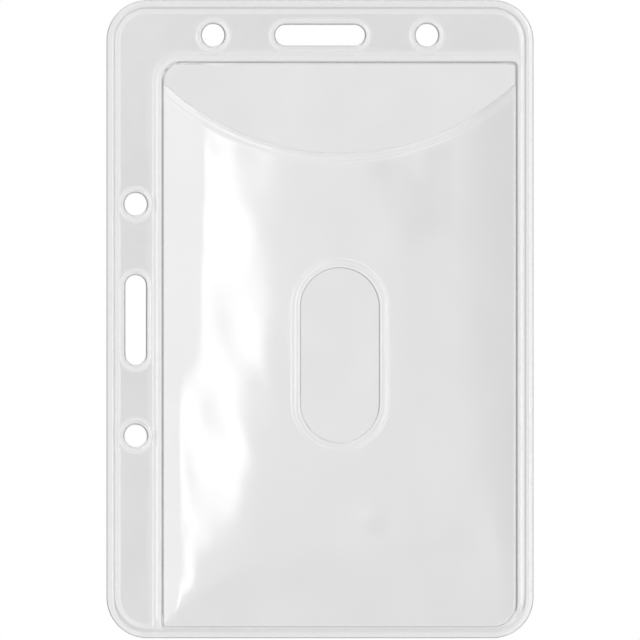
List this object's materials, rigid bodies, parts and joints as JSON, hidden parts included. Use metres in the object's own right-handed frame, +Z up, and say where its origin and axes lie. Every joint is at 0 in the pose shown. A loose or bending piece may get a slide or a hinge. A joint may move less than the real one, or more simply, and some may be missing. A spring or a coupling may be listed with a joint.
{
  "type": "badge holder",
  "caption": "Clear soft vinyl ID badge holder with a card pocket, a crescent loading mouth, a thumb slot, and strap slots and round holes along its top and its side.",
  "frame": {"origin": "centre of the top strap slot, on the plane where the front and back films are welded together", "axes": "+Z up as the holder hangs, +X to the right as seen from the front, +Y from the front film towards the back one"},
  "size_m": [0.0666, 0.0027, 0.0997],
  "materials": {
    "clear_vinyl": "clear, glossy, slightly grey flexible film"
  },
  "bodies": {
    "root": {"back_sheet": "clear_vinyl", "front_left": "clear_vinyl", "front_top": "clear_vinyl", "front_right": "clear_vinyl", "front_bottom": "clear_vinyl", "front_window": "clear_vinyl"}
  },
  "joints": []
}
